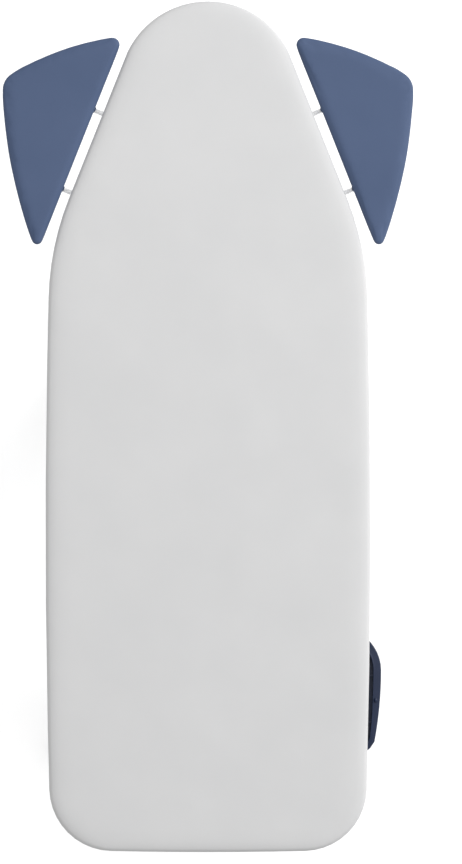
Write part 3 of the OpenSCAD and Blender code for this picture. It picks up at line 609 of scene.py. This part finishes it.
def ringPoints(place, shape):
    turns = [2 * math.pi * i / weldMake["points"] for i in range(weldMake["points"])]
    return [place @ Vector(shape(math.cos(a), math.sin(a))) for a in turns]


def welds(name, body, top, tubeAt, footNode, braceNodes):
    place = legPlace(top)
    r, big, small = weldMake["legTube"], weldMake["footTube"], weldMake["brace"]
    paths = []
    foot = (middle(footNode) - top).length
    for side in (-1, 1):
        x = side * tubeAt
        paths.append(ringPoints(place, lambda c, s: (x + r * c, foot - math.sqrt(big ** 2 - (r * s) ** 2), r * s)))
        for node in braceNodes:
            at = (middle(node) - top).length
            paths.append(ringPoints(place, lambda c, s: (
                x - side * math.sqrt(r ** 2 - (small * s) ** 2), at + small * c, small * s)))
    mesh = tubeMesh(name, paths, weldMake["bead"], closed=True, sides=2)
    for v in mesh.vertices:
        wave = math.sin(v.co.x * weldMake["ripples"]) * math.cos(v.co.z * weldMake["ripples"])
        v.co += v.co.normalized() * weldMake["ripple"] * wave
    moveTo(mesh, name, body, "leg_paint")


welds("outerLegWelds", "outer_leg", foldJoint, middle("outer_tube_right").x, "outer_foot_tube", ["outer_leg_brace"])
welds("innerLegWelds", "inner_leg", middle("slide_bushes"), middle("inner_tube_right").x,
      "inner_foot_tube", ["inner_brace_upper", "inner_brace_lower"])

# ---- cap nuts on the crossing bolt ----

nutMake = {"hexRadius": 0.008, "hexLength": 0.0046, "hexEdge": 0.0006, "dome": 0.0062, "sink": 0.0004,
           "length": 0.0078}
nutLow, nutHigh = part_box("cross_bolt_nuts")
nuts = bmesh.new()
for side in (-1, 1):
    inner = nutHigh.x - nutMake["length"]
    turn = Matrix.Translation((side * (inner + nutMake["hexLength"] / 2), crossJoint.y, crossJoint.z))
    turn = turn @ Matrix.Rotation(math.pi / 2, 4, "Y")
    bmesh.ops.create_cone(nuts, cap_ends=True, segments=6, radius1=nutMake["hexRadius"], radius2=nutMake["hexRadius"],
                          depth=nutMake["hexLength"], matrix=turn)
softenEdges(nuts, nutMake["hexEdge"], 2)
for side in (-1, 1):
    inner = nutHigh.x - nutMake["length"] + nutMake["hexLength"]
    place = Matrix.Translation((side * inner, crossJoint.y, crossJoint.z))
    place = place @ Matrix.Diagonal(((nutHigh.x - inner) / nutMake["dome"], 1, 1, 1))
    dome = bmesh.ops.create_uvsphere(nuts, u_segments=28, v_segments=14, radius=nutMake["dome"],
                                     matrix=place)["verts"]
    geom = dome + list({e for v in dome for e in v.link_edges}) + list({f for v in dome for f in v.link_faces})
    bmesh.ops.bisect_plane(nuts, geom=geom, plane_co=(side * (inner - nutMake["sink"]), 0, 0),
                           plane_no=(-side, 0, 0), clear_outer=True)
toPiece(nuts, "crossCapNuts", "outer_leg", "bright_steel", ["cross_bolt_nuts"], 40)

# ---- torsion spring ----

springMake = {"turns": 6, "wire": 0.0008, "steps": 24, "radius": 0.0068, "pitch": 0.00256, "lowTail": 0.0256,
              "highTail": 0.0242, "spread": 0.0008}
springLow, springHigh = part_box("lever_spring")
shaft = middle("lever_shaft")
springStart = (springLow.y + springHigh.y) / 2 - springMake["turns"] * springMake["pitch"] / 2
coil = []
for i in range(springMake["turns"] * springMake["steps"] + 1):
    turned = i / springMake["steps"]
    a = 2 * math.pi * turned
    coil.append(Vector((shaft.x - springMake["radius"] * math.cos(a), springStart + springMake["pitch"] * turned,
                        shaft.z + springMake["radius"] * math.sin(a))))
coil.insert(0, coil[0] + Vector((0, -springMake["spread"], -springMake["lowTail"])))
coil.append(coil[-1] + Vector((0, springMake["spread"], springMake["highTail"])))
springWire = tubeMesh("torsionSpring", [coil], springMake["wire"])
moveTo(springWire, "torsionSpring", "board", "spring_steel", ["lever_spring"])

# ---- release handle ----

handleMake = {
    "bar": 0.0112, "floor": 0.004, "ridge": 0.0017, "ridgeUp": 0.0010, "outerRound": 0.0034, "edge": 0.0007,
    "height": 0.013, "gripFrom": 0.205, "slimFrom": -0.375, "slimOver": 0.06, "slimBy": 0.0032,
    "hub": 0.009, "hubLength": 0.028, "hubEdge": 0.0012, "noseHub": -0.050, "tailHub": 0.016,
    "ribAt": (0.2085, 0.007), "ribSize": (0.054, 0.0016, 0.009), "ribs": (-0.315, -0.352, -0.418),
    "stud": (0.2370, -0.3865), "studSize": 0.0024, "studDown": 0.0145,
}
handleLow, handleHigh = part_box("lever_handle")
handle = cadCopy("lever_handle")
bottom = min(v.co.z for v in handle.verts)
baseFace = max((f for f in handle.faces if f.normal.z < -0.99 and abs(f.calc_center_median().z - bottom) < 0.0001),
               key=lambda f: f.calc_area())
handlePoints = [v.co.copy() for v in reversed(baseFace.verts)]
handle.free()
handle = bmesh.new()
plate = handle.faces.new([handle.verts.new(p) for p in handlePoints])
if plate.normal.z < 0:
    bmesh.ops.reverse_faces(handle, faces=[plate])
handle.normal_update()
lifted = bmesh.ops.extrude_face_region(handle, geom=[plate])["geom"]
raiseNew(handle, lifted, handleMake["floor"])
bmesh.ops.recalc_face_normals(handle, faces=handle.faces[:])
topFace = max(handle.faces, key=lambda f: f.calc_center_median().z)
rimFaces = bmesh.ops.inset_region(handle, faces=[topFace], thickness=handleMake["bar"], use_even_offset=True)["faces"]
for v in topFace.verts:
    if v.co.x > handleMake["gripFrom"]:
        share = max(0.0, min(1.0, (handleMake["slimFrom"] - v.co.y) / handleMake["slimOver"]))
        v.co.x += handleMake["slimBy"] * share
height = handleMake["height"] - handleMake["floor"] - handleMake["ridgeUp"]
raised = bmesh.ops.extrude_face_region(handle, geom=rimFaces)["geom"]
raiseNew(handle, raised, height)
raisedFaces = [g for g in raised if isinstance(g, bmesh.types.BMFace)]
bmesh.ops.delete(handle, geom=rimFaces, context="FACES_ONLY")
bmesh.ops.recalc_face_normals(handle, faces=handle.faces[:])
strips = bmesh.ops.inset_region(handle, faces=raisedFaces, thickness=handleMake["ridge"],
                                use_even_offset=True)["faces"]
outerLine = [p.xy for p in handlePoints]


def gapTo(line, point):
    gaps = []
    for a, b in zip(line, line[1:] + line[:1]):
        along = b - a
        t = max(0.0, min(1.0, (point - a).dot(along) / max(along.length_squared, 1e-12)))
        gaps.append((a + along * t - point).length)
    return min(gaps)


innerStrips = [f for f in strips if gapTo(outerLine, f.calc_center_median().xy) > handleMake["bar"] / 2]
ridge = bmesh.ops.extrude_face_region(handle, geom=innerStrips)["geom"]
raiseNew(handle, ridge, handleMake["ridgeUp"])
bmesh.ops.delete(handle, geom=innerStrips, context="FACES_ONLY")
bmesh.ops.recalc_face_normals(handle, faces=handle.faces[:])
rimTop = handleLow.z + handleMake["floor"] + height
softenEdges(handle, handleMake["outerRound"], 5, 50, lambda e: all(
    abs(v.co.z - rimTop) < 0.0002 and gapTo(outerLine, v.co.xy) < 0.0004 for v in e.verts))
softenEdges(handle, handleMake["edge"], 3, 50, lambda e: any(v.co.z < handleLow.z + 0.0002 for v in e.verts)
            or all(v.co.z > rimTop - 0.0002 and gapTo(outerLine, v.co.xy) > 0.006 for v in e.verts))
for hubStart in (handleHigh.y + handleMake["noseHub"], handleLow.y + handleMake["tailHub"]):
    turn = Matrix.Translation((shaft.x, hubStart + handleMake["hubLength"] / 2, shaft.z))
    turn = turn @ Matrix.Rotation(math.pi / 2, 4, "X")
    hub = bmesh.ops.create_cone(handle, cap_ends=True, segments=40, radius1=handleMake["hub"],
                                radius2=handleMake["hub"], depth=handleMake["hubLength"], matrix=turn)["verts"]
    rims = [e for e in {e for v in hub for e in v.link_edges} if e.calc_face_angle(0) > 1]
    bmesh.ops.bevel(handle, geom=rims, offset=handleMake["hubEdge"], offset_type="OFFSET", affect="EDGES", segments=3,
                    profile=0.5, material=-1)
ribX, ribUp = handleMake["ribAt"]
for ribY in handleMake["ribs"]:
    place = Matrix.Translation((ribX, ribY, handleLow.z + ribUp)) @ Matrix.Diagonal((*handleMake["ribSize"], 1))
    bmesh.ops.create_cube(handle, size=1, matrix=place)
place = Matrix.Translation((*handleMake["stud"], handleHigh.z - handleMake["studDown"]))
bmesh.ops.create_uvsphere(handle, u_segments=20, v_segments=12, radius=handleMake["studSize"],
                          matrix=place @ Matrix.Diagonal((1, 1.5, 0.7, 1)))
toPiece(handle, "releaseHandle", "lever", "handle_plastic", ["lever_handle"], 38)
print("release handle made")

# ---- wings ----

wingMake = {
    "cell": 0.005, "step": 0.002, "pleat": 0.011, "gather": 0.0007, "gatherFrom": 0.55, "curlRadius": 0.03,
    "waves": 0.0005, "waveScale": 13.0, "wavesFade": 0.006, "tuckOver": 0.006,
    "fold": [(0.0035, -16, 3), (0.0065, -74, 6), (0.0082, 0, 4), (0.0042, -90, 4), (0.0105, 0, 4), (0.004, -230, 5)],
    "thickness": 0.0008, "armAt": (0.060, -0.060), "armReach": (0.112, 0.066), "axisIn": 0.030,
    "bendFrom": 0.0084, "bendTo": 0.0364, "armTop": 0.8885, "tuckBy": 0.0075, "tuckWidth": 0.011, "tuckReach": 0.045,
    "rod": 0.0035, "bend": 0.011,
}
wingSettle = {"pressure": 1.0, "heldBelow": 0.0105, "frames": 20, "mostMove": 0.0010}
wingPadMake = {
    "cell": 0.008, "step": 0.004, "waves": 0.0003, "sink": 0.0004,
    "fold": [(0.0035, -16, 2), (0.0048, -74, 4), (0.002, 0, 1)],
}


def wingPlace(side):
    joint = joints["wing_right_fold" if side > 0 else "wing_left_fold"]
    pivot, along = Vector(joint["pos_m"]), Vector(joint["axis"])
    if along.y < 0:
        along = -along
    out = along.cross(Vector((0, 0, 1)))
    if out.x * side < 0:
        out = -out
    return pivot, along, out


for side, word in ((-1, "left"), (1, "right")):
    body = "wing_" + word
    pivot, along, out = wingPlace(side)

    def armPoint(u, v, z):
        return pivot + out * (u + wingMake["axisIn"]) + along * v + Vector((0, 0, z - pivot.z))

    def tuckIn(at):
        local = at - pivot
        if abs(local.dot(out) - wingMake["axisIn"]) > wingMake["tuckReach"]:
            return 0.0
        return max(wingMake["tuckBy"] * math.exp(-((local.dot(along) - v) / wingMake["tuckWidth"]) ** 2)
                   for v in wingMake["armAt"])

    make = dict(wingMake, tuck=tuckIn)
    mesh, flat, area, _, seam = sewnSheet("wing_cover_" + word, make)
    cover = toPiece(mesh, "wingCover" + word.capitalize(), body, "wing_cloth", ["wing_cover_" + word], 60)
    settleCloth(cover, wingSettle)
    addWall(cover, wingMake["thickness"])
    pad = roundedPad("wing_pad_" + word, "wingPad" + word.capitalize(), body, "wing_foam", wingPadMake)
    stitches = hemStitches("wingHemStitches" + word.capitalize(), body, "drawcord", seam)

    rodPoints = []
    for v, reach in zip(wingMake["armAt"], wingMake["armReach"]):
        arm = [armPoint(reach, v, wingMake["armTop"]), armPoint(wingMake["bendTo"], v, wingMake["armTop"]),
               armPoint(wingMake["bendFrom"], v, pivot.z), armPoint(-wingMake["axisIn"], v, pivot.z)]
        rodPoints.append(arm)
    whole = rodPoints[0] + rodPoints[1][::-1]
    rod = tubeMesh("rod", [roundedPath(whole, wingMake["bend"])], wingMake["rod"], sides=5)
    moveTo(rod, "wingFrame" + word.capitalize(), body, "white_paint", ["wing_frame_" + word])
    print("wing made:", word, "flat size", flat, "area", area)

# ---- floor ----

floorMesh = bmesh.new()
bmesh.ops.create_grid(floorMesh, x_segments=8, y_segments=8, size=stage["floorHalf"])
floorData = bpy.data.meshes.new("floor")
floorMesh.to_mesh(floorData)
floorMesh.free()
floorData.materials.append(floorLook)
floor = bpy.data.objects.new("floor", floorData)
bpy.context.scene.collection.objects.link(floor)

print("done")
